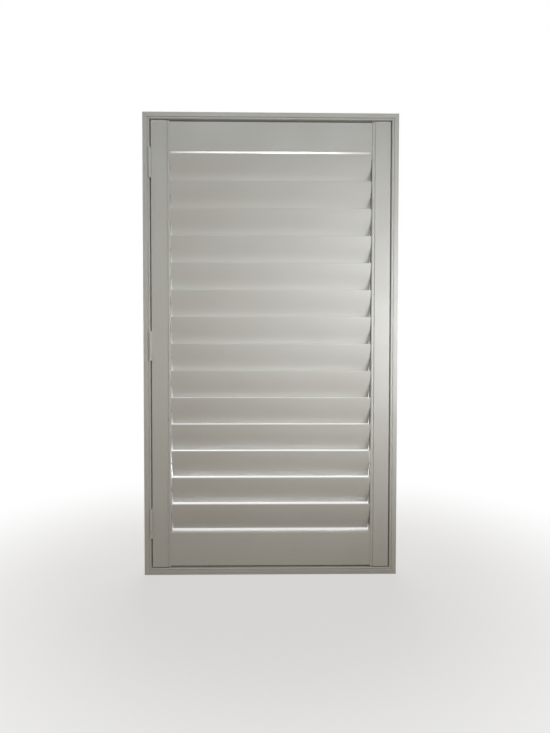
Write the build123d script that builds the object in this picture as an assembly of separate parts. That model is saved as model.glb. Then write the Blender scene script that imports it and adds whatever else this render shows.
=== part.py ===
from build123d import *
import math
import os

# Louvred shutter: one hinged panel in its own beaded frame, tilted by a rack hidden in a stile.
# Millimetres. X runs to the right as seen from the room, Y away from the room, Z up.
# The origin is the middle of the underside of the frame.

# Louvres
louvre_count = 14
louvre_pitch = 70
louvre_length = 519
louvre_chord = 76
louvre_thickness = 11
louvre_tip_radius = 1.5
louvre_nose_flats = 4  # each long edge is rounded by this many narrow flats
louvre_port = 5.15  # side of the square channel that runs through each blade
louvre_end_gap = 2
rest_tilt = 20  # degrees from upright, with the top edge towards the room

# Panel
stile_width = 48
stile_thickness = 27
stile_bead = 5.5
stile_quirk = 2.8
quirk_drop = 0.3  # how far the floor of a quirk lies below the spring of its bead
edge_rounding = 1.5
rail_thickness = 22
rail_rounding = 1.5
top_rail_height = 75
bottom_rail_height = 88
top_rail_to_pivot = 42
bottom_rail_to_pivot = 40
rail_end_inset = 2  # the rails stop this far short of the ends of the stiles
tenon_length = 24
tenon_thickness = 9
tenon_shoulder = 12
mortise_room = 1
panel_recess = 1  # from the face of the frame to the face of the stiles

# Frame
panel_gap = 3
frame_face = 18
frame_depth = 47
rebate_depth = 30
stop_reach = 12  # how far the light stop stands in past the rebate
frame_bead = 4.2
frame_quirk = 2.4
frame_outer_band = 5
frame_outer_step = 0.8
fixing_hole_radius = 2.5
fixing_hole_from_end = 250
fixing_hole_from_stop = 5
key_leg = 34
key_width = 12
key_thickness = 3
key_inset = 4

# Hinges
hinge_length = 76
hinge_end_knuckle = 18.5
knuckle_gap = 0.4
knuckle_radius = 3.3
hinge_pin_radius = 1.6
hinge_pin_clearance = 0.06
knuckle_proud = 4.0  # from the face of the frame to the hinge axis
leaf_thickness = 1.2
leaf_width = 20
top_hinge_drop = 109  # from the top of the panel to the middle of the hinge
bottom_hinge_rise = 116

# Hidden tilt gear in the right stile
pinion_teeth = 8
teeth_per_pitch = 16  # rack teeth between one louvre and the next
pressure_angle = 25
profile_shift = 0.3
gear_backlash = 0.12
gear_tip_clearance = 0.3
gear_width = 5
gear_play = 0.3
rack_back = 2
rack_end_margin = 3
rack_play = 0.15
comb_thickness = 3
journal_radius = 2.5
journal_rib = 1.8
notch_play = 0.08
drive_length = 12
drive_side = 5
lowest_tilt = -15.5
highest_tilt = 155.5

# Pivot pins in the left stile
pin_socket_depth = 10

# Magnetic catch
catch_height = 619  # above the foot of the panel
catch_length = 32
catch_depth = 6
catch_proud = 0.5
catch_edge_inset = 1
strike_width = 8
strike_thickness = 1.2

# Worked out from the sizes above
opening_width = louvre_length + 2 * louvre_end_gap
panel_width = opening_width + 2 * stile_width
louvre_run = (louvre_count - 1) * louvre_pitch
opening_height = bottom_rail_to_pivot + louvre_run + top_rail_to_pivot
panel_height = 2 * rail_end_inset + bottom_rail_height + opening_height + top_rail_height
frame_width = panel_width + 2 * (panel_gap + frame_face)
frame_height = panel_height + 2 * (panel_gap + frame_face)
frame_front = -frame_depth / 2
frame_back = frame_depth / 2
stop_front = frame_front + rebate_depth
panel_front = frame_front + panel_recess
panel_back = panel_front + stile_thickness
pivot_y = panel_front + stile_thickness / 2
panel_foot = frame_face + panel_gap
panel_top = panel_foot + panel_height
bottom_rail_foot = panel_foot + rail_end_inset
lowest_pivot = bottom_rail_foot + bottom_rail_height + bottom_rail_to_pivot
highest_pivot = lowest_pivot + louvre_run
top_rail_foot = highest_pivot + top_rail_to_pivot
stile_inner_edge = opening_width / 2
panel_edge = panel_width / 2
rebate_edge = panel_edge + panel_gap
hinge_x = -panel_edge - panel_gap / 2
hinge_y = frame_front - knuckle_proud
hinge_heights = {
    "top": panel_top - top_hinge_drop,
    "middle": panel_foot + panel_height / 2,
    "bottom": panel_foot + bottom_hinge_rise,
}

# Gear sizes: the teeth keep step with the louvre pitch
tooth_pitch = louvre_pitch / teeth_per_pitch
gear_module = tooth_pitch / math.pi
pitch_radius = pinion_teeth * gear_module / 2
base_radius = pitch_radius * math.cos(math.radians(pressure_angle))
pinion_tip_radius = pitch_radius + gear_module
pinion_root_radius = pitch_radius - (1.25 - profile_shift) * gear_module
rack_line = pitch_radius + profile_shift * gear_module
rack_tip = rack_line - gear_module
rack_root = pinion_tip_radius + gear_tip_clearance
rack_rear = rack_root + rack_back
rack_rise = pitch_radius * math.radians(highest_tilt)
rack_fall = pitch_radius * math.radians(-lowest_tilt)
tooth_angle = 360 / pinion_teeth
teeth_above = math.ceil(rack_fall / tooth_pitch + 0.25)  # contact ends half a tooth pitch from the pivot
teeth_below = math.ceil(rack_rise / tooth_pitch + 0.25)
first_tooth = math.ceil(-highest_tilt / tooth_angle - 1.25)
last_tooth = math.floor(-lowest_tilt / tooth_angle + 0.25)
rack_low = lowest_pivot - (teeth_below + 0.5) * tooth_pitch - rack_end_margin
rack_high = highest_pivot + (teeth_above + 0.5) * tooth_pitch + rack_end_margin
channel_low = rack_low - rack_fall - gear_play
channel_high = rack_high + rack_rise + gear_play
channel_front = pivot_y - pinion_tip_radius - gear_play
channel_back = pivot_y + rack_rear + rack_play
channel_depth = comb_thickness + gear_width + 2 * gear_play
gear_near = stile_inner_edge + comb_thickness + gear_play
gear_far = gear_near + gear_width
journal_arm = math.sqrt(journal_radius**2 - (journal_rib / 2) ** 2)


def slab(x0, x1, y0, y1, z0, z1):
    """A block between two corners."""
    block = Box(x1 - x0, y1 - y0, z1 - z0)
    return Pos((x0 + x1) / 2, (y0 + y1) / 2, (z0 + z1) / 2) * block


def along_x(section, x0, x1, y=0.0, z=0.0):
    """A section drawn as depth and height, carried along X."""
    return extrude(Pos(x0, y, z) * (Plane.YZ * section), x1 - x0, dir=(1, 0, 0))


def pivot_heights():
    """Heights of the louvre pivots, from the top one down, as the louvres are numbered."""
    return [highest_pivot - i * louvre_pitch for i in range(louvre_count)]


def beaded_face(edge, face, bead, quirk):
    """The quirk and bead on a face at depth `face`, ending at the arris at `edge`, as (depth, width)."""
    start = edge - bead
    spring = face + bead / 2
    floor = spring + quirk_drop
    quirk_line = Polyline((face, start - quirk), (floor, start - quirk * 2 / 3), (floor, start), (spring, start))
    bead_line = ThreePointArc((spring, start), (face, edge - bead / 2), (spring, edge))
    return quirk_line + bead_line


def frame_section():
    """The frame moulding, drawn as depth and distance in from its outer edge."""
    beaded = beaded_face(frame_face, frame_front, frame_bead, frame_quirk)
    step_front = frame_front + frame_outer_step
    plain = Polyline(
        (frame_front + frame_bead / 2, frame_face),
        (stop_front, frame_face),
        (stop_front, frame_face + stop_reach),
        (frame_back, frame_face + stop_reach),
        (frame_back, 0),
        (step_front, 0),
        (step_front, frame_outer_band),
        (frame_front, frame_outer_band + frame_outer_step),
        (frame_front, frame_face - frame_bead - frame_quirk),
    )
    return make_face(beaded + plain)


def frame_length(span):
    """One mitred length along X, with its outer edge at Z = 0 and the moulding towards +Z."""
    reach = frame_face + stop_reach
    bar = along_x(frame_section(), -span / 2, span / 2)
    corners = [(-span / 2, 0), (span / 2, 0), (span / 2 - reach, reach), (reach - span / 2, reach)]
    mitres = extrude(Plane.XZ * Polygon(*corners, align=None), frame_depth, both=True)
    return bar & mitres


def corner_keys():
    """Angle keys let into the back of the four mitres."""
    x = -frame_width / 2 + key_inset
    front = frame_back - key_thickness
    key = slab(x, x + key_leg, front, frame_back, key_inset, key_inset + key_width)
    key += slab(x, x + key_width, front, frame_back, key_inset, key_inset + key_leg)
    lower = [key, mirror(key, Plane.YZ)]
    middle = Plane.XY.offset(frame_height / 2)
    return lower + [mirror(part, middle) for part in lower]


def fixing_holes(side):
    """Screw holes through the rebate of one jamb."""
    centre_y = stop_front - fixing_hole_from_stop
    start = side * frame_width / 2
    holes = []
    for z in (fixing_hole_from_end, frame_height - fixing_hole_from_end):
        hole = Cylinder(fixing_hole_radius, 3 * frame_face)
        holes.append(Pos(start, centre_y, z) * Rot(0, 90, 0) * hole)
    return holes


def catch_block():
    """The magnet block of the catch, let into the light stop of the right jamb."""
    z = panel_foot + catch_height
    front = stop_front - catch_proud
    near = rebate_edge - stop_reach + catch_edge_inset
    half = catch_length / 2
    return slab(near, rebate_edge, front, front + catch_depth, z - half, z + half)


def strike_plate():
    """The steel plate on the back of the right stile that the magnet holds."""
    z = panel_foot + catch_height
    far = panel_edge - edge_rounding
    half = catch_length / 2
    return slab(far - strike_width, far, panel_back, panel_back + strike_thickness, z - half, z + half)


def frame_parts():
    """The four mitred lengths of the frame and what is let into them."""
    keys = corner_keys()
    across = frame_length(frame_width)
    upright = frame_length(frame_height)
    half_height = frame_height / 2
    parts = {
        "frame_bottom": across,
        "frame_top": Pos(0, 0, frame_height) * Rot(0, 180, 0) * across,
        "frame_left": Pos(-frame_width / 2, 0, half_height) * Rot(0, 90, 0) * upright,
        "frame_right": Pos(frame_width / 2, 0, half_height) * Rot(0, -90, 0) * upright,
    }
    for name in parts:
        for key in keys:
            parts[name] -= key
    for hole in fixing_holes(-1):
        parts["frame_left"] -= hole
    for hole in fixing_holes(1):
        parts["frame_right"] -= hole
    parts["frame_right"] -= catch_block()
    parts["corner_keys"] = Compound(children=keys)
    parts["magnet_catch"] = catch_block()
    return parts


def stile_blank():
    """A stile from end to end, drawn for the left side: its bead runs along the louvre edge at X = 0."""
    beaded = beaded_face(0, panel_front, stile_bead, stile_quirk)
    plain = Polyline(
        (panel_front + stile_bead / 2, 0),
        (panel_back, 0),
        (panel_back, -stile_width),
        (panel_front, -stile_width),
        (panel_front, -stile_bead - stile_quirk),
    )
    section = make_face(beaded + plain)
    section = fillet(section.vertices().group_by(Axis.Y)[0], edge_rounding)
    plan = Plane((0, 0, panel_foot), x_dir=(0, 1, 0), z_dir=(0, 0, -1))
    return extrude(plan * section, panel_height, dir=(0, 0, 1))


def rail_places():
    """Foot and height of each rail."""
    return {
        "rail_top": (top_rail_foot, top_rail_height),
        "rail_bottom": (bottom_rail_foot, bottom_rail_height),
    }


def tenon_blocks(reach):
    """A block at each end of both rails, `reach` long: the tenons, or the mortises that take them."""
    half = tenon_thickness / 2
    blocks = []
    for foot, height in rail_places().values():
        low = foot + tenon_shoulder
        high = foot + height - tenon_shoulder
        for side in (-1, 1):
            inner, outer = sorted((side * stile_inner_edge, side * (stile_inner_edge + reach)))
            blocks.append(slab(inner, outer, pivot_y - half, pivot_y + half, low, high))
    return blocks


def rails():
    """Top and bottom rail, each with a tenon at both ends."""
    parts = {}
    for name, (foot, height) in rail_places().items():
        section = RectangleRounded(rail_thickness, height, rail_rounding)
        parts[name] = along_x(section, -stile_inner_edge, stile_inner_edge, pivot_y, foot + height / 2)
    tenons = tenon_blocks(tenon_length)
    parts["rail_top"] += tenons[:2]
    parts["rail_bottom"] += tenons[2:]
    return parts


def ribbed_section():
    """Cross-shaped section of the moulded pins, inside the journal radius."""
    return Rectangle(2 * journal_arm, journal_rib) + Rectangle(journal_rib, 2 * journal_arm)


def stiles():
    """Left stile with its pin sockets, right stile with the channel for the tilt gear."""
    blank = stile_blank()
    left = Pos(-stile_inner_edge, 0, 0) * blank
    right = Pos(stile_inner_edge, 0, 0) * mirror(blank, Plane.YZ)
    for block in tenon_blocks(tenon_length + mortise_room):
        left -= block
        right -= block
    socket = Rectangle(2 * journal_arm, 2 * journal_arm)
    for z in pivot_heights():
        left -= along_x(socket, -stile_inner_edge - pin_socket_depth, -stile_inner_edge, pivot_y, z)
    right -= slab(
        stile_inner_edge,
        stile_inner_edge + channel_depth,
        channel_front,
        channel_back,
        channel_low,
        channel_high,
    )
    return {"stile_left": left, "stile_right": right}


def pivot_pins():
    """Ribbed pins pressed into the left stile, one for each louvre to turn on."""
    start = -stile_inner_edge - pin_socket_depth
    end = -louvre_length / 2 + drive_length
    return [along_x(ribbed_section(), start, end, pivot_y, z) for z in pivot_heights()]


def blade_section():
    """Louvre section: two shallow arcs joined by small blunt tips, upright, with the square channel."""
    half_chord = louvre_chord / 2
    half_thickness = louvre_thickness / 2
    tip = half_chord - louvre_tip_radius
    crown = half_thickness - louvre_tip_radius
    face_radius = (tip**2 + half_thickness**2 - louvre_tip_radius**2) / (2 * crown)
    reach = face_radius - louvre_tip_radius
    lean = math.asin(tip / reach)
    turn = (math.pi - 2 * lean) / louvre_nose_flats
    top = []
    for i in range(louvre_nose_flats + 1):
        angle = lean + i * turn
        top.append((louvre_tip_radius * math.cos(angle), tip + louvre_tip_radius * math.sin(angle)))
    bottom = [(-y, -z) for y, z in top]
    front = ThreePointArc(top[-1], (-half_thickness, 0), bottom[0])
    back = ThreePointArc(bottom[-1], (half_thickness, 0), top[0])
    return make_face(Polyline(*top) + front + Polyline(*bottom) + back) - Rectangle(louvre_port, louvre_port)


def louvre(z):
    """One blade at its rest tilt, top edge towards the room."""
    section = Rot(0, 0, rest_tilt) * blade_section()
    return along_x(section, -louvre_length / 2, louvre_length / 2, pivot_y, z)


def involute_half_angle(radius):
    """Half the angle that a pinion tooth spans at a radius."""
    alpha = math.radians(pressure_angle)
    at_pitch = (math.pi / 4 + profile_shift * math.tan(alpha)) / (pinion_teeth / 2)
    slope = math.acos(min(base_radius / radius, 1))
    return at_pitch + math.tan(alpha) - alpha - (math.tan(slope) - slope)


def pinion_section():
    """Sector of straight-flanked teeth, as many as the tilt uses, a space facing the rack at rest."""
    root_half = involute_half_angle(base_radius)
    tip_half = involute_half_angle(pinion_tip_radius)
    corners = []
    for place in range(first_tooth, first_tooth + pinion_teeth):
        centre = math.radians((place + 0.5) * tooth_angle)
        if place > last_tooth:
            corners.append((pinion_root_radius, centre))
            continue
        corners.append((pinion_root_radius, centre - root_half))
        corners.append((pinion_tip_radius, centre - tip_half))
        corners.append((pinion_tip_radius, centre + tip_half))
        corners.append((pinion_root_radius, centre + root_half))
    points = [(radius * math.cos(angle), radius * math.sin(angle)) for radius, angle in corners]
    return Polygon(*points, align=None)


def gear_pin(z):
    """Pinion, ribbed journal and square drive in one moulding, turning with its louvre."""
    end = louvre_length / 2
    pin = along_x(pinion_section(), gear_near, gear_far, pivot_y, z)
    pin += along_x(ribbed_section(), end, gear_near, pivot_y, z)
    drive = Rot(0, 0, rest_tilt) * Rectangle(drive_side, drive_side)
    return pin + along_x(drive, end - drive_length, end, pivot_y, z)


def rack():
    """The rack: a bar behind the pinions with a short set of teeth for each of them."""
    slope = math.tan(math.radians(pressure_angle))
    half_line = tooth_pitch / 4 - gear_backlash
    half_tip = half_line - (rack_line - rack_tip) * slope
    half_root = half_line + (rack_root - rack_line) * slope
    points = [(rack_rear, rack_low), (rack_rear, rack_high), (rack_root, rack_high)]
    for z in pivot_heights():
        for tooth in range(teeth_above, -teeth_below - 1, -1):
            centre = z + tooth * tooth_pitch
            points += [
                (rack_root, centre + half_root),
                (rack_tip, centre + half_tip),
                (rack_tip, centre - half_tip),
                (rack_root, centre - half_root),
            ]
    points.append((rack_root, rack_low))
    return along_x(Polygon(*points, align=None), gear_near, gear_far, pivot_y)


def bearing_comb():
    """The strip that closes the channel, notched from behind for the journals of the gear pins."""
    far = stile_inner_edge + comb_thickness
    comb = slab(stile_inner_edge, far, channel_front, channel_back, channel_low, channel_high)
    half = journal_radius + notch_play
    for z in pivot_heights():
        comb -= slab(stile_inner_edge, far, pivot_y - half, channel_back, z - half, z + half)
    return comb


def hinge_leaf(side, z):
    """Plate of one leaf, on its side of the hinge axis (-1 frame, 1 panel)."""
    faces = sorted((side * panel_gap / 2, side * (panel_gap / 2 - leaf_thickness)))
    front = frame_front if side < 0 else panel_front
    low, high = z - hinge_length / 2, z + hinge_length / 2
    back = frame_front + leaf_width
    return slab(hinge_x + faces[0], hinge_x + faces[1], front, back, low, high)


def hinge_knuckle(side, low, high):
    """A knuckle around the axis and the neck that joins it to its leaf."""
    height = high - low
    barrel = Pos(hinge_x, hinge_y, (low + high) / 2) * Cylinder(knuckle_radius, height)
    faces = sorted((side * panel_gap / 2, side * (panel_gap / 2 - leaf_thickness)))
    start = hinge_y + (hinge_pin_radius + knuckle_radius) / 2
    end = frame_front + panel_recess
    return barrel + slab(hinge_x + faces[0], hinge_x + faces[1], start, end, low, high)


def hinge(z):
    """One butt hinge: the frame leaf with its riveted pin, and the panel leaf that turns on it."""
    low, high = z - hinge_length / 2, z + hinge_length / 2
    inner_low, inner_high = low + hinge_end_knuckle, high - hinge_end_knuckle
    pin = Pos(hinge_x, hinge_y, z) * Cylinder(hinge_pin_radius, hinge_length)
    frame_leaf = hinge_leaf(-1, z) + hinge_knuckle(-1, low, inner_low) + hinge_knuckle(-1, inner_high, high)
    panel_leaf = hinge_leaf(1, z) + hinge_knuckle(1, inner_low + knuckle_gap, inner_high - knuckle_gap)
    bore = Pos(hinge_x, hinge_y, z) * Cylinder(hinge_pin_radius + hinge_pin_clearance, hinge_length)
    return frame_leaf + pin, panel_leaf - bore


def panel_parts():
    """Stiles, rails and what is fixed to them."""
    parts = stiles() | rails()
    parts["pivot_pins"] = Compound(children=pivot_pins())
    parts["bearing_comb"] = bearing_comb()
    parts["strike_plate"] = strike_plate()
    return parts


def all_parts():
    """Every node of the shutter by name."""
    parts = frame_parts() | panel_parts()
    parts["rack"] = rack()
    for place, z in hinge_heights.items():
        parts[f"hinge_{place}_frame_leaf"], parts[f"hinge_{place}_panel_leaf"] = hinge(z)
    for number, z in enumerate(pivot_heights(), start=1):
        parts[f"louvre_{number:02d}"] = louvre(z)
        parts[f"gear_pin_{number:02d}"] = gear_pin(z)
    return parts


def main():
    os.makedirs("parts", exist_ok=True)
    for name, solid in all_parts().items():
        export_step(solid, f"parts/{name}.step")


main()
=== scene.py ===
import bpy
import bmesh
import math
from mathutils import Matrix, Vector


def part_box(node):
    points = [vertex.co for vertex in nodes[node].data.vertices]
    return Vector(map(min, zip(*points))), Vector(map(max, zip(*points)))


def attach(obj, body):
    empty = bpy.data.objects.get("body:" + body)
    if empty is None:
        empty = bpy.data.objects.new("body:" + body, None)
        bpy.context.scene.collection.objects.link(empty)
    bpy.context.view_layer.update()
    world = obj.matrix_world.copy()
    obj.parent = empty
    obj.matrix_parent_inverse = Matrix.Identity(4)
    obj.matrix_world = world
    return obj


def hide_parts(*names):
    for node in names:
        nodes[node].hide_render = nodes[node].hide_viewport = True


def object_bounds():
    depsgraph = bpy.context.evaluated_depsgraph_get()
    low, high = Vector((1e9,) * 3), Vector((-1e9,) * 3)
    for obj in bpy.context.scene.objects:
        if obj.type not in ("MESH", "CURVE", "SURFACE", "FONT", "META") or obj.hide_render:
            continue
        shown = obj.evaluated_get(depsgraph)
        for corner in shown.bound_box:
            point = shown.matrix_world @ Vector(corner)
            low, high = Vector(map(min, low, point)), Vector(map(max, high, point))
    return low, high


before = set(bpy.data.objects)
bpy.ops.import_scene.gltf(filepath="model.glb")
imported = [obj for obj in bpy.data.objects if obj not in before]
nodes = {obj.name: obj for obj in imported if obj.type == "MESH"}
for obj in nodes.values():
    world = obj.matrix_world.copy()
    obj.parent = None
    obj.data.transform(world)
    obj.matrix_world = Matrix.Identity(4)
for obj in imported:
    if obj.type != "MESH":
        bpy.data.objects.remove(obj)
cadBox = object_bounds()
mm = 0.001
quarterTurn = math.pi / 2
fullTurn = 2 * math.pi
hingePlaces = ("top", "middle", "bottom")
print("frame loaded:", len(nodes), "nodes")


# small helpers for objects and node trees
def addObject(name, data):
    made = bpy.data.objects.new(name, data)
    bpy.context.scene.collection.objects.link(made)
    return made


def join(tree, source, target):
    tree.links.new(source, target)


# feeds go to the node's sockets, as fixed values or as links from another node's socket
def newNode(tree, kind, feeds=None, **settings):
    made = tree.nodes.new(kind)
    for key, value in settings.items():
        setattr(made, key, value)
    for key, value in (feeds or {}).items():
        if isinstance(value, bpy.types.NodeSocket):
            join(tree, value, made.inputs[key])
        elif value is not None:
            made.inputs[key].default_value = value
    return made


def mathStep(tree, operation, *values):
    feeds = dict(enumerate(values))
    return newNode(tree, "ShaderNodeMath", feeds, operation=operation).outputs[0]


def vectorOf(tree, x=None, y=None, z=None):   # what isn't given stays 0
    return newNode(tree, "ShaderNodeCombineXYZ", {"X": x, "Y": y, "Z": z}).outputs[0]


def slide(tree, value, low, high, fromEnd=0.0, toEnd=1.0):
    feeds = dict(enumerate((value, low, high, fromEnd, toEnd)))
    return newNode(tree, "ShaderNodeMapRange", feeds, interpolation_type="SMOOTHSTEP").outputs[0]


def patternSpace(tree, stretch=(1.0, 1.0, 1.0)):
    coords = newNode(tree, "ShaderNodeTexCoord").outputs["Object"]
    return newNode(tree, "ShaderNodeMapping", {"Vector": coords, "Scale": stretch}).outputs[0]


def mottle(tree, space, scale, detail=3.0, roughness=0.5):
    feeds = {"Vector": space, "Scale": scale, "Detail": detail, "Roughness": roughness}
    return newNode(tree, "ShaderNodeTexNoise", feeds).outputs["Fac"]


def blendColour(tree, factor, first, second):
    first, second = (
        (*colour, 1.0) if isinstance(colour, tuple) else colour for colour in (first, second))
    feeds = {0: factor, 6: first, 7: second}   # 6 and 7 are the colour sockets
    return newNode(tree, "ShaderNodeMix", feeds, data_type="RGBA").outputs[2]


def relief(tree, height, strength, distance, below=None):
    feeds = {"Strength": strength, "Distance": distance, "Height": height, "Normal": below}
    return newNode(tree, "ShaderNodeBump", feeds).outputs[0]


# every finish starts and ends in the same way
noiseSpan = (0.3, 0.7)   # where most of a noise's values lie


def openMaterial(name, values):
    made = bpy.data.materials.new(name)
    made.use_nodes = True
    tree = made.node_tree
    shader = tree.nodes["Principled BSDF"]
    shader.inputs["Metallic"].default_value = values.get("metal", 0.0)
    shader.inputs["Coat Weight"].default_value = values.get("coat", 0.0)
    shader.inputs["Coat Roughness"].default_value = values.get("coatRoughness", 0.2)
    made.diffuse_color = (*values["colour"], 1.0)
    return made, tree, shader


def closeMaterial(tree, shader, values, colour, gloss, surface):
    join(tree, colour, shader.inputs["Base Color"])
    join(tree, slide(tree, gloss, *noiseSpan, *values["roughness"]), shader.inputs["Roughness"])
    join(tree, surface, shader.inputs["Normal"])


# satin paint on timber: faint grain under the paint, sprayed surface, hairlines at the mitres
timberPaint = {
    "colour": (0.738, 0.741, 0.728),
    "tint": (0.708, 0.708, 0.687),   # where the coat is thinner
    "thinSpan": (0.40, 0.68),
    "grainShare": 0.35,              # of the thin spots: the patches have the rest
    "patchScale": 7.0,
    "roughness": (0.36, 0.50),
    "grainScale": 260.0,
    "grainStretch": 0.022,
    "grainStrength": 0.6,
    "grainRelief": 0.00006,
    "sprayScale": 950.0,
    "sprayStrength": 0.5,
    "sprayRelief": 0.00003,
    "joint": (0.40, 0.375, 0.335),   # hairline of the mitres
    "jointWidth": 0.00028,
    "jointCore": 0.4,                # share of that width that is full dark
    "coat": 0.10,
    "coatRoughness": 0.35,
}


def mitreLines(tree, values):
    width, height = (cadBox[1][i] - cadBox[0][i] for i in (0, 2))
    coords = newNode(tree, "ShaderNodeTexCoord").outputs["Object"]
    parts = newNode(tree, "ShaderNodeSeparateXYZ", {0: coords}).outputs
    offMiddle = mathStep(tree, "SUBTRACT", parts[2], height / 2)
    fromSide = mathStep(tree, "SUBTRACT", width / 2, mathStep(tree, "ABSOLUTE", parts[0]))
    fromEnd = mathStep(tree, "SUBTRACT", height / 2, mathStep(tree, "ABSOLUTE", offMiddle))
    offLine = mathStep(tree, "ABSOLUTE", mathStep(tree, "SUBTRACT", fromSide, fromEnd))
    edge = values["jointWidth"]
    return slide(tree, offLine, edge * values["jointCore"], edge, 1.0, 0.0)


def makeTimberPaint(name, along, mitred=False):
    values = timberPaint
    made, tree, shader = openMaterial(name, values)
    stretch = tuple(values["grainStretch"] if axis == along else 1.0 for axis in "XYZ")
    grain = mottle(
        tree, patternSpace(tree, stretch), values["grainScale"], detail=5.0, roughness=0.62)
    spray = mottle(tree, patternSpace(tree), values["sprayScale"], detail=2.0)
    patches = mottle(tree, patternSpace(tree), values["patchScale"], roughness=0.55)
    share = values["grainShare"]
    fromPatches = mathStep(tree, "MULTIPLY", patches, 1.0 - share)
    uneven = mathStep(tree, "MULTIPLY_ADD", grain, share, fromPatches)
    thin = slide(tree, uneven, *values["thinSpan"])
    colour = blendColour(tree, thin, values["colour"], values["tint"])
    if mitred:
        colour = blendColour(tree, mitreLines(tree, values), colour, values["joint"])
    sprayed = relief(tree, spray, values["sprayStrength"], values["sprayRelief"])
    surface = relief(tree, grain, values["grainStrength"], values["grainRelief"], sprayed)
    closeMaterial(tree, shader, values, colour, patches, surface)
    return made


# blades: smooth satin skin with very fine lines along their length
bladeSkin = {
    "colour": (0.762, 0.767, 0.757),
    "tint": (0.737, 0.738, 0.722),
    "tintSpan": (0.35, 0.7),
    "patchScale": 5.0,
    "patchStretch": 0.6,
    "roughness": (0.33, 0.44),
    "lineScale": 520.0,
    "lineStretch": 0.006,
    "lineStrength": 0.5,
    "lineRelief": 0.00003,
    "speckScale": 800.0,
    "speckStrength": 0.35,
    "speckRelief": 0.00002,
    "coat": 0.12,
    "coatRoughness": 0.30,
}


def makeBladeSkin():
    values = bladeSkin
    made, tree, shader = openMaterial("bladeSkin", values)
    lineSpace = patternSpace(tree, (values["lineStretch"], 1.0, 1.0))
    patchSpace = patternSpace(tree, (values["patchStretch"], 1.0, 1.0))
    lines = mottle(tree, lineSpace, values["lineScale"])
    patches = mottle(tree, patchSpace, values["patchScale"], detail=2.0)
    speck = mottle(tree, patternSpace(tree), values["speckScale"], detail=1.0)
    tinted = slide(tree, patches, *values["tintSpan"])
    colour = blendColour(tree, tinted, values["colour"], values["tint"])
    fine = relief(tree, speck, values["speckStrength"], values["speckRelief"])
    surface = relief(tree, lines, values["lineStrength"], values["lineRelief"], fine)
    closeMaterial(tree, shader, values, colour, lines, surface)
    return made


# enamelled steel of the hinges
hingeEnamel = {
    "colour": (0.765, 0.766, 0.75),
    "worn": (0.52, 0.505, 0.475),
    "wearSpan": (0.66, 0.74),
    "mostWear": 0.7,
    "rubScale": 190.0,
    "rubStretch": 0.35,
    "roughness": (0.22, 0.36),
    "peelScale": 600.0,
    "peelStrength": 0.5,
    "peelRelief": 0.00004,
    "coat": 0.35,
    "coatRoughness": 0.12,
}


def makeHingeEnamel():
    values = hingeEnamel
    made, tree, shader = openMaterial("hingeEnamel", values)
    peel = mottle(tree, patternSpace(tree), values["peelScale"], detail=2.0)
    rubSpace = patternSpace(tree, (1.0, 1.0, values["rubStretch"]))
    rub = mottle(tree, rubSpace, values["rubScale"], detail=4.0, roughness=0.7)
    wear = slide(tree, rub, *values["wearSpan"], 0.0, values["mostWear"])
    colour = blendColour(tree, wear, values["colour"], values["worn"])
    surface = relief(tree, peel, values["peelStrength"], values["peelRelief"])
    closeMaterial(tree, shader, values, colour, peel, surface)
    return made


# moulded plastics and bare steel: a fine pattern for gloss and relief, a broad one for colour
plainFinishes = {
    "gearMoulding": {
        "colour": (0.085, 0.08, 0.075), "tint": (0.12, 0.115, 0.105), "roughness": (0.42, 0.6),
        "scale": 900.0},
    "pinMoulding": {
        "colour": (0.66, 0.645, 0.60), "tint": (0.60, 0.58, 0.53), "roughness": (0.38, 0.52),
        "scale": 800.0},
    "keyMoulding": {
        "colour": (0.42, 0.405, 0.375), "tint": (0.36, 0.345, 0.315), "roughness": (0.45, 0.6),
        "scale": 700.0},
    "catchMoulding": {
        "colour": (0.045, 0.032, 0.022), "tint": (0.07, 0.052, 0.038), "roughness": (0.4, 0.55),
        "scale": 900.0},
    "plainSteel": {
        "colour": (0.52, 0.515, 0.50), "tint": (0.40, 0.385, 0.36), "roughness": (0.25, 0.42),
        "metal": 1.0, "scale": 1400.0, "stretch": 0.05, "fineRoughness": 0.5,
        "broadScale": 160.0, "broadDetail": 4.0, "broadRoughness": 0.6, "tintSpan": (0.4, 0.7),
        "strength": 0.4, "relief": 0.00002},
}
mouldedPattern = {   # what a finish above doesn't say
    "stretch": 1.0, "fineRoughness": 0.6, "broadScale": 45.0, "broadDetail": 2.0,
    "broadRoughness": 0.5, "tintSpan": (0.35, 0.65), "strength": 0.6, "relief": 0.00004,
}


def makePlainFinish(name):
    values = {**mouldedPattern, **plainFinishes[name]}
    made, tree, shader = openMaterial(name, values)
    fineSpace = patternSpace(tree, (1.0, 1.0, values["stretch"]))
    fine = mottle(tree, fineSpace, values["scale"], roughness=values["fineRoughness"])
    broad = mottle(
        tree, patternSpace(tree), values["broadScale"], values["broadDetail"],
        values["broadRoughness"])
    tinted = slide(tree, broad, *values["tintSpan"])
    colour = blendColour(tree, tinted, values["colour"], values["tint"])
    surface = relief(tree, fine, values["strength"], values["relief"])
    closeMaterial(tree, shader, values, colour, fine, surface)
    return made


finishes = {
    "uprightFrame": makeTimberPaint("framePaintUpright", "Z", mitred=True),
    "acrossFrame": makeTimberPaint("framePaintAcross", "X", mitred=True),
    "stile": makeTimberPaint("stilePaint", "Z"),
    "rail": makeTimberPaint("railPaint", "X"),
    "blade": makeBladeSkin(),
    "hinge": makeHingeEnamel(),
    "gear": makePlainFinish("gearMoulding"),
    "pin": makePlainFinish("pinMoulding"),
    "key": makePlainFinish("keyMoulding"),
    "catch": makePlainFinish("catchMoulding"),
    "steel": makePlainFinish("plainSteel"),
}
print("finishes made:", len(finishes))


def dress(piece, finish):
    piece.data.materials.clear()
    piece.data.materials.append(finishes[finish])


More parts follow.
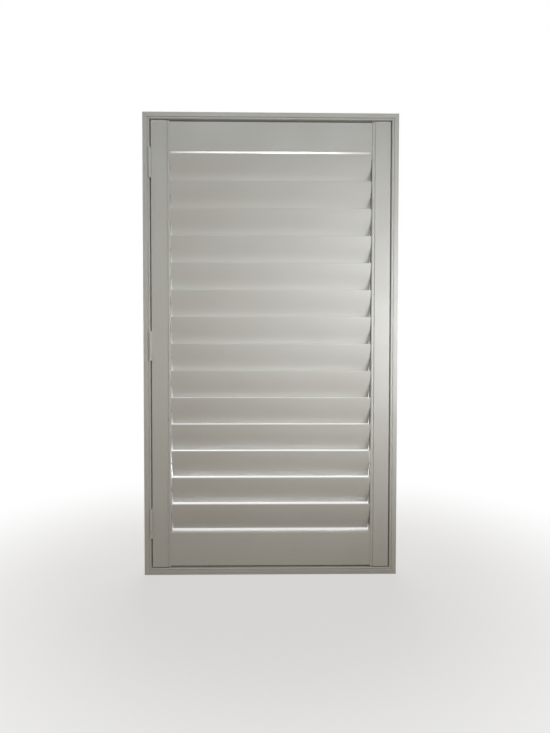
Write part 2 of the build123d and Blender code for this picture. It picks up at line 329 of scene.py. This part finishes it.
# softened copies of the joinery: merged mesh, small rounded arrises
softening = {   # body, finish, slot and width of the rounding in millimetres
    "frame_bottom": ("frame", "acrossFrame", "painted_timber", 0.30),
    "frame_top": ("frame", "acrossFrame", "painted_timber", 0.30),
    "frame_left": ("frame", "uprightFrame", "painted_timber", 0.30),
    "frame_right": ("frame", "uprightFrame", "painted_timber", 0.30),
    "stile_left": ("panel", "stile", "painted_timber", 0.35),
    "stile_right": ("panel", "stile", "painted_timber", 0.35),
    "rail_top": ("panel", "rail", "painted_timber", 0.35),
    "rail_bottom": ("panel", "rail", "painted_timber", 0.35),
    "magnet_catch": ("frame", "catch", "catch_plastic", 0.30),
    "strike_plate": ("panel", "steel", "strike_steel", 0.15),
}
for place in hingePlaces:
    softening[f"hinge_{place}_frame_leaf"] = ("frame", "hinge", "hinge_paint", 0.18)
    softening[f"hinge_{place}_panel_leaf"] = ("panel", "hinge", "hinge_paint", 0.18)
rounding = {
    "segments": 2,
    "joineryAngle": 28.0,   # edges sharper than this many degrees are rounded
    "bladeAngle": 50.0,
    "bladeWidth": 0.35,     # at the cut ends, in millimetres
}
merging = {
    "solids": 2e-6,         # points nearer than this many metres become one
    "trees": 5e-6,
    "flatAngle": 0.4,       # faces within this many degrees become one
}


def cleanMesh(mesh, distance, flatAngle=None):
    work = bmesh.new()
    work.from_mesh(mesh)
    bmesh.ops.remove_doubles(work, verts=work.verts, dist=distance)
    if flatAngle is not None:
        bmesh.ops.dissolve_limit(
            work, angle_limit=math.radians(flatAngle), verts=work.verts, edges=work.edges)
    bmesh.ops.recalc_face_normals(work, faces=work.faces)
    work.to_mesh(mesh)
    work.free()


def mergedCopy(node):
    mesh = node.data.copy()
    mesh.name = node.name + "Soft"
    for layer in ("custom_normal", "sharp_face", "sharp_edge"):
        if layer in mesh.attributes:
            mesh.attributes.remove(mesh.attributes[layer])
    cleanMesh(mesh, merging["solids"], merging["flatAngle"])
    return mesh


def soften(piece, width, angle):
    for face in piece.data.polygons:
        face.use_smooth = True
    bevel = piece.modifiers.new("rounding", "BEVEL")
    bevel.width = width * mm
    bevel.segments = rounding["segments"]
    bevel.limit_method = "ANGLE"
    bevel.angle_limit = math.radians(angle)
    bevel.miter_outer = "MITER_ARC"
    bevel.harden_normals = True


for name, (body, finish, slotName, width) in softening.items():
    piece = addObject(name + "Soft", mergedCopy(nodes[name]))
    dress(piece, finish)
    soften(piece, width, rounding["joineryAngle"])
    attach(piece, body)
    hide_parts(name)
print("joinery softened:", len(softening), "pieces")


# Geometry Nodes: what the blades and the screws share
socketKinds = {int: "NodeSocketInt", float: "NodeSocketFloat", tuple: "NodeSocketVector"}


def startTree(name, sizes):
    tree = bpy.data.node_groups.new(name, "GeometryNodeTree")
    tree.is_modifier = True
    sockets = tree.interface
    sockets.new_socket("Geometry", in_out="INPUT", socket_type="NodeSocketGeometry")
    keys = {}
    for label, value in sizes.items():
        made = sockets.new_socket(label, in_out="INPUT", socket_type=socketKinds[type(value)])
        made.default_value = value
        keys[label] = made.identifier
    sockets.new_socket("Geometry", in_out="OUTPUT", socket_type="NodeSocketGeometry")
    return tree, newNode(tree, "NodeGroupInput").outputs, keys


def endTree(tree, geometry, finish):
    realized = newNode(tree, "GeometryNodeRealizeInstances", {0: geometry}).outputs[0]
    feeds = {"Geometry": realized, "Material": finishes[finish]}
    coated = newNode(tree, "GeometryNodeSetMaterial", feeds).outputs[0]
    newNode(tree, "NodeGroupOutput", {0: coated})


def moved(tree, geometry, shift=None, turn=None):
    feeds = {"Geometry": geometry, "Translation": shift, "Rotation": turn}
    return newNode(tree, "GeometryNodeTransform", feeds).outputs[0]


def together(tree, first, second):
    made = newNode(tree, "GeometryNodeJoinGeometry")
    join(tree, first, made.inputs[0])
    join(tree, second, made.inputs[0])
    return made.outputs[0]


def runTree(name, tree, keys, values, seedPoints=((0.0, 0.0, 0.0),)):
    seedMesh = bpy.data.meshes.new(name + "Seed")
    seedMesh.from_pydata([tuple(point) for point in seedPoints], [], [])
    seed = addObject(name + "Seed", seedMesh)
    shaper = seed.modifiers.new("shaper", "NODES")
    shaper.node_group = tree
    for label, value in values.items():
        shaper[keys[label]] = value
    bpy.context.view_layer.update()
    graph = bpy.context.evaluated_depsgraph_get()
    mesh = bpy.data.meshes.new_from_object(seed.evaluated_get(graph), depsgraph=graph)
    bpy.data.objects.remove(seed)
    mesh.name = name
    cleanMesh(mesh, merging["trees"])
    return addObject(name, mesh)


# blades: two shallow arcs with round noses, drawn out along their length round a square port
bladeShape = {
    "Chord": 0.076,
    "Thickness": 0.011,
    "Nose Radius": 0.0015,
    "Length": 0.519,
    "Port": 0.00515,
    "Tilt": math.radians(20.0),
    "Profile Points": 88,
}


def bladeTree():
    sizes = {**bladeShape, "Pivot Depth": 0.0, "Pivot Height": 0.0}
    tree, given, keys = startTree("bladeTree", sizes)

    def step(operation, *values):
        return mathStep(tree, operation, *values)

    def square(value):
        return step("MULTIPLY", value, value)

    nose = given["Nose Radius"]
    halfChord = step("MULTIPLY", given["Chord"], 0.5)
    halfThick = step("MULTIPLY", given["Thickness"], 0.5)
    tip = step("SUBTRACT", halfChord, nose)   # from the pivot to the middle of a nose
    crown = step("SUBTRACT", halfThick, nose)
    squares = step("SUBTRACT", step("MULTIPLY_ADD", tip, tip, square(halfThick)), square(nose))
    faceRadius = step("DIVIDE", squares, step("MULTIPLY", crown, 2.0))   # meets the noses smoothly
    reach = step("SUBTRACT", faceRadius, nose)
    joinHeight = step("MULTIPLY_ADD", nose, step("DIVIDE", tip, reach), tip)

    # each profile point takes its place on the two arcs and the noses from its index
    index = newNode(tree, "GeometryNodeInputIndex").outputs[0]
    angle = step("MULTIPLY", step("DIVIDE", index, given["Profile Points"]), fullTurn)
    height = step("MULTIPLY", step("COSINE", angle), halfChord)
    away = step("ABSOLUTE", height)
    faceRoot = step("SQRT", step("SUBTRACT", square(faceRadius), square(height)))
    onFace = step("SUBTRACT", faceRoot, step("SUBTRACT", faceRadius, halfThick))
    noseSquare = step("SUBTRACT", square(nose), square(step("SUBTRACT", away, tip)))
    onNose = step("SQRT", step("MAXIMUM", noseSquare, 0.0))
    isNose = step("GREATER_THAN", away, joinHeight)
    halfDepth = step("MULTIPLY_ADD", isNose, step("SUBTRACT", onNose, onFace), onFace)
    depth = step("MULTIPLY", step("SIGN", step("SINE", angle)), halfDepth)

    ring = newNode(
        tree, "GeometryNodeCurvePrimitiveCircle", {"Resolution": given["Profile Points"]},
        mode="RADIUS").outputs[0]
    profile = newNode(
        tree, "GeometryNodeSetPosition",
        {"Geometry": ring, "Position": vectorOf(tree, depth, height)}).outputs[0]
    port = newNode(
        tree, "GeometryNodeCurvePrimitiveQuadrilateral", {0: given["Port"], 1: given["Port"]},
        mode="RECTANGLE").outputs[0]
    section = newNode(
        tree, "GeometryNodeFillCurve", {"Curve": together(tree, port, profile)}).outputs[0]
    drawn = newNode(
        tree, "GeometryNodeExtrudeMesh",
        {"Mesh": section, "Offset": vectorOf(tree, z=given["Length"]), "Offset Scale": 1.0,
         "Individual": False},
        mode="FACES").outputs["Mesh"]
    tilted = moved(tree, together(tree, section, drawn), turn=vectorOf(tree, z=given["Tilt"]))
    start = step("MULTIPLY", given["Length"], -0.5)
    home = vectorOf(tree, start, given["Pivot Depth"], given["Pivot Height"])
    laid = moved(tree, tilted, home, (quarterTurn, 0.0, quarterTurn))
    endTree(tree, laid, "blade")
    return tree, keys


bladeMaker, bladeKeys = bladeTree()
bladeNames = sorted(name for name in nodes if name.startswith("louvre_"))
for name in bladeNames:
    low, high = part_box(name)
    pivot = (low + high) / 2
    values = {"Pivot Depth": pivot.y, "Pivot Height": pivot.z}
    piece = runTree(name + "Blade", bladeMaker, bladeKeys, values)
    soften(piece, rounding["bladeWidth"], rounding["bladeAngle"])
    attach(piece, name)
    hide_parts(name)
print("blades made:", len(bladeNames))


# countersunk cross-head screws
screwShape = {
    "Head Radius": 0.0029,
    "Head Height": 0.00016,
    "Head Taper": 0.93,
    "Head Sides": 28,
    "Recess Width": 0.0007,
    "Recess Length": 0.0030,
    "Recess Depth": 0.0009,
    "Sunk Depth": 0.0010,
    "Seed": 7,
}
smallScrew = {"Head Radius": 0.0022, "Head Height": 0.00006, "Recess Length": 0.0024}


def screwTree():
    sizes = {**screwShape, "Facing": (0.0, 0.0, 0.0)}
    tree, given, keys = startTree("screwTree", sizes)
    whole = mathStep(tree, "ADD", given["Head Height"], given["Sunk Depth"])
    rimRadius = given["Head Radius"]
    topRadius = mathStep(tree, "MULTIPLY", rimRadius, given["Head Taper"])
    head = newNode(
        tree, "GeometryNodeMeshCone",
        {"Vertices": given["Head Sides"], "Radius Top": topRadius, "Radius Bottom": rimRadius,
         "Depth": whole},
        fill_type="NGON").outputs[0]
    drop = vectorOf(tree, z=mathStep(tree, "MULTIPLY", given["Sunk Depth"], -1.0))
    sunk = moved(tree, head, drop)
    cut = newNode(tree, "GeometryNodeMeshBoolean", {0: sunk}, operation="DIFFERENCE")
    for swap in (False, True):
        sides = (given["Recess Length"], given["Recess Width"])
        wide, deep = reversed(sides) if swap else sides
        size = vectorOf(tree, wide, deep, mathStep(tree, "MULTIPLY", given["Recess Depth"], 2.0))
        recess = newNode(tree, "GeometryNodeMeshCube", {"Size": size}).outputs[0]
        raised = moved(tree, recess, vectorOf(tree, z=given["Head Height"]))
        join(tree, raised, cut.inputs[1])
    spread = newNode(
        tree, "GeometryNodeInstanceOnPoints",
        {"Points": given["Geometry"], "Instance": cut.outputs[0],
         "Rotation": given["Facing"]}).outputs[0]
    chance = newNode(   # 3 is the upper end of the range
        tree, "FunctionNodeRandomValue", {3: fullTurn, "Seed": given["Seed"]},
        data_type="FLOAT").outputs[1]
    turned = newNode(
        tree, "GeometryNodeRotateInstances",
        {"Instances": spread, "Rotation": vectorOf(tree, z=chance),
         "Local Space": True}).outputs[0]
    endTree(tree, turned, "steel")
    return tree, keys


screwPlan = {   # in millimetres
    "fromMiddle": (-27.0, 0.0, 27.0),   # along each hinge leaf
    "inset": (10.5, 6.0, 10.5),         # from the back edge of the leaf
    "faceFromAxis": 0.3,                # the face of a leaf, beside the hinge axis
    "strikeFromMiddle": (-11.0, 11.0),
}


def leafSpots(leaf, side):   # side is the way the leaf lies from the hinge axis
    spots = []
    for place in hingePlaces:
        low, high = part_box(f"hinge_{place}_{leaf}_leaf")
        axis, middle = (low.x + high.x) / 2, (low.z + high.z) / 2
        face = axis + side * screwPlan["faceFromAxis"] * mm
        for offset, inset in zip(screwPlan["fromMiddle"], screwPlan["inset"]):
            spots.append((face, high.y - inset * mm, middle + offset * mm))
    return spots


def strikeSpots():
    low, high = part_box("strike_plate")
    across, middle = (low.x + high.x) / 2, (low.z + high.z) / 2
    return [(across, high.y, middle + offset * mm) for offset in screwPlan["strikeFromMiddle"]]


screwMaker, screwKeys = screwTree()
screwSets = {
    "hingeScrewsFrame": (
        "frame", leafSpots("frame", -1), {"Facing": (0.0, quarterTurn, 0.0), "Seed": 3}),
    "hingeScrewsPanel": (
        "panel", leafSpots("panel", 1), {"Facing": (0.0, -quarterTurn, 0.0), "Seed": 5}),
    "strikeScrews": (
        "panel", strikeSpots(), {"Facing": (-quarterTurn, 0.0, 0.0), "Seed": 9, **smallScrew}),
}
for name, (body, spots, values) in screwSets.items():
    piece = runTree(name, screwMaker, screwKeys, values, spots)
    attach(piece, body)
print("screws driven:", sum(len(spots) for body, spots, values in screwSets.values()))


# the solids get their finishes too, also those that a finer piece stands for
solidFinishes = {
    "gear_pin": "pin",
    "pivot_pins": "pin",
    "rack": "gear",
    "bearing_comb": "gear",
    "corner_keys": "key",
    "louvre": "blade",
}
for name, node in nodes.items():
    for start, finish in solidFinishes.items():
        if name.startswith(start):
            dress(node, finish)
    if name in softening:
        dress(node, softening[name][1])
print("solids finished")


# studio: pale floor, soft light from the right and above, daylight behind
studio = {
    "backdrop": (1.0, 1.0, 1.0),
    "skyTint": (1.0, 0.825, 0.66),
    "skyStrength": 0.258,
    "floorColour": (0.76, 0.75, 0.73),    # as the camera sees it
    "floorBounce": (0.36, 0.265, 0.16),   # as it lights the shutter
    "floorRoughness": 0.8,
    "floorReach": 9.0,                    # from its middle to each edge
    "floorFade": (0.3, 1.2),              # from the shutter out to plain white
    "floorWhite": 0.55,                   # how far it is lifted to white beside the shutter
}
lamps = {
    "sideLight": {
        "spot": (0.85, -1.05, 0.67), "aim": (0.25, 0.0, 0.67), "size": (0.7, 0.36),
        "spread": 60.0, "power": 1.2, "colour": (0.98, 1.0, 1.0)},
    "ceilingFill": {
        "spot": (0.0, -2.0, 2.3), "aim": (0.0, 0.0, 0.8), "size": (2.0, 1.0),
        "spread": 180.0, "power": 12.4, "colour": (0.74, 0.93, 1.0)},
    "daylight": {
        "spot": (0.0, 0.9, 0.62), "aim": (0.0, 0.0, 0.62), "size": (1.2, 1.2),
        "spread": 180.0, "power": 6.1, "colour": (0.97, 0.99, 1.0)},
    "lowDaylight": {    # on the backs of the last louvres
        "spot": (0.0, 0.75, 0.13), "aim": (0.0, 0.0, 0.20), "size": (0.8, 0.08),
        "spread": 36.0, "power": 0.28, "colour": (0.91, 0.96, 1.0)},
    "highDaylight": {   # shines up into the slot under the top rail
        "spot": (0.0, 0.5, 0.93), "aim": (0.0, 0.0, 1.10), "size": (0.5, 0.05),
        "spread": 25.0, "power": 0.055, "colour": (1.0, 1.0, 1.0)},
}


def raysOf(tree, *kinds):   # 1 for a ray of any of these kinds
    rays = newNode(tree, "ShaderNodeLightPath").outputs
    found = rays[kinds[0]]
    for kind in kinds[1:]:
        found = mathStep(tree, "MAXIMUM", found, rays[kind])
    return found


def mixShaders(tree, factor, first, second):
    return newNode(tree, "ShaderNodeMixShader", {0: factor, 1: first, 2: second}).outputs[0]


def lightWorld():
    world = bpy.data.worlds.new("studioWorld")
    bpy.context.scene.world = world
    world.use_nodes = True
    tree = world.node_tree
    tree.nodes.clear()
    seen = raysOf(tree, "Is Camera Ray", "Is Glossy Ray", "Is Transmission Ray")
    skyFeeds = {"Color": (*studio["skyTint"], 1.0), "Strength": studio["skyStrength"]}
    sky = newNode(tree, "ShaderNodeBackground", skyFeeds).outputs[0]
    white = newNode(tree, "ShaderNodeBackground", {"Color": (*studio["backdrop"], 1.0)}).outputs[0]
    newNode(tree, "ShaderNodeOutputWorld", {0: mixShaders(tree, seen, sky, white)})


def layFloor():
    edge = studio["floorReach"]
    mesh = bpy.data.meshes.new("studioFloor")
    corners = [(-edge, -edge, 0.0), (edge, -edge, 0.0), (edge, edge, 0.0), (-edge, edge, 0.0)]
    mesh.from_pydata(corners, [], [(0, 1, 2, 3)])
    floor = addObject("studioFloor", mesh)
    paint = bpy.data.materials.new("floorPaint")
    paint.use_nodes = True
    tree = paint.node_tree
    shader = tree.nodes["Principled BSDF"]
    shader.inputs["Roughness"].default_value = studio["floorRoughness"]
    seen = raysOf(tree, "Is Camera Ray", "Is Glossy Ray")
    colour = blendColour(tree, seen, studio["floorBounce"], studio["floorColour"])
    join(tree, colour, shader.inputs["Base Color"])
    coords = newNode(tree, "ShaderNodeTexCoord").outputs["Object"]
    away = newNode(tree, "ShaderNodeVectorMath", {0: coords}, operation="LENGTH").outputs["Value"]
    white = slide(tree, away, *studio["floorFade"], studio["floorWhite"], 1.0)
    factor = mathStep(tree, "MULTIPLY", white, seen)
    glow = newNode(tree, "ShaderNodeEmission", {"Color": (*studio["backdrop"], 1.0)}).outputs[0]
    mixed = mixShaders(tree, factor, shader.outputs[0], glow)
    join(tree, mixed, tree.nodes["Material Output"].inputs[0])
    mesh.materials.append(paint)


def hangLamp(name, values):
    lamp = bpy.data.lights.new(name, "AREA")
    lamp.shape = "RECTANGLE"
    lamp.size, lamp.size_y = values["size"]
    lamp.energy = values["power"]
    lamp.color = values["colour"]
    lamp.spread = math.radians(values["spread"])
    holder = addObject(name, lamp)
    holder.location = values["spot"]
    beam = Vector(values["aim"]) - Vector(values["spot"])
    holder.rotation_euler = beam.to_track_quat("-Z", "Y").to_euler()
    holder.visible_camera = False


lightWorld()
layFloor()
for name, values in lamps.items():
    hangLamp(name, values)
bpy.context.scene.view_settings.view_transform = "Standard"
print("studio lit:", len(lamps), "lamps")


# camera: where the photograph was taken from
viewpoint = {
    "spot": (-0.0091, -1.3766, 0.5844),
    "turnRight": 0.84,      # degrees, as the next two
    "tipDown": 1.55,
    "roll": 0.07,
    "focalPixels": 520.0,
    "photoHeight": 733.0,   # pixels
    "sensorHeight": 24.0,
    "nearest": 0.01,
}


def placeCamera(view):
    lens = bpy.data.cameras.new("photoCamera")
    lens.sensor_fit = "VERTICAL"
    lens.sensor_height = view["sensorHeight"]
    lens.lens = view["focalPixels"] / view["photoHeight"] * view["sensorHeight"]
    lens.clip_start = view["nearest"]
    viewer = addObject("photoCamera", lens)
    yaw = Matrix.Rotation(math.radians(-view["turnRight"]), 4, "Z")
    pitch = Matrix.Rotation(math.radians(90.0 - view["tipDown"]), 4, "X")
    roll = Matrix.Rotation(math.radians(view["roll"]), 4, "Z")
    viewer.matrix_world = Matrix.Translation(view["spot"]) @ yaw @ pitch @ roll
    bpy.context.scene.camera = viewer


placeCamera(viewpoint)
print("camera placed")
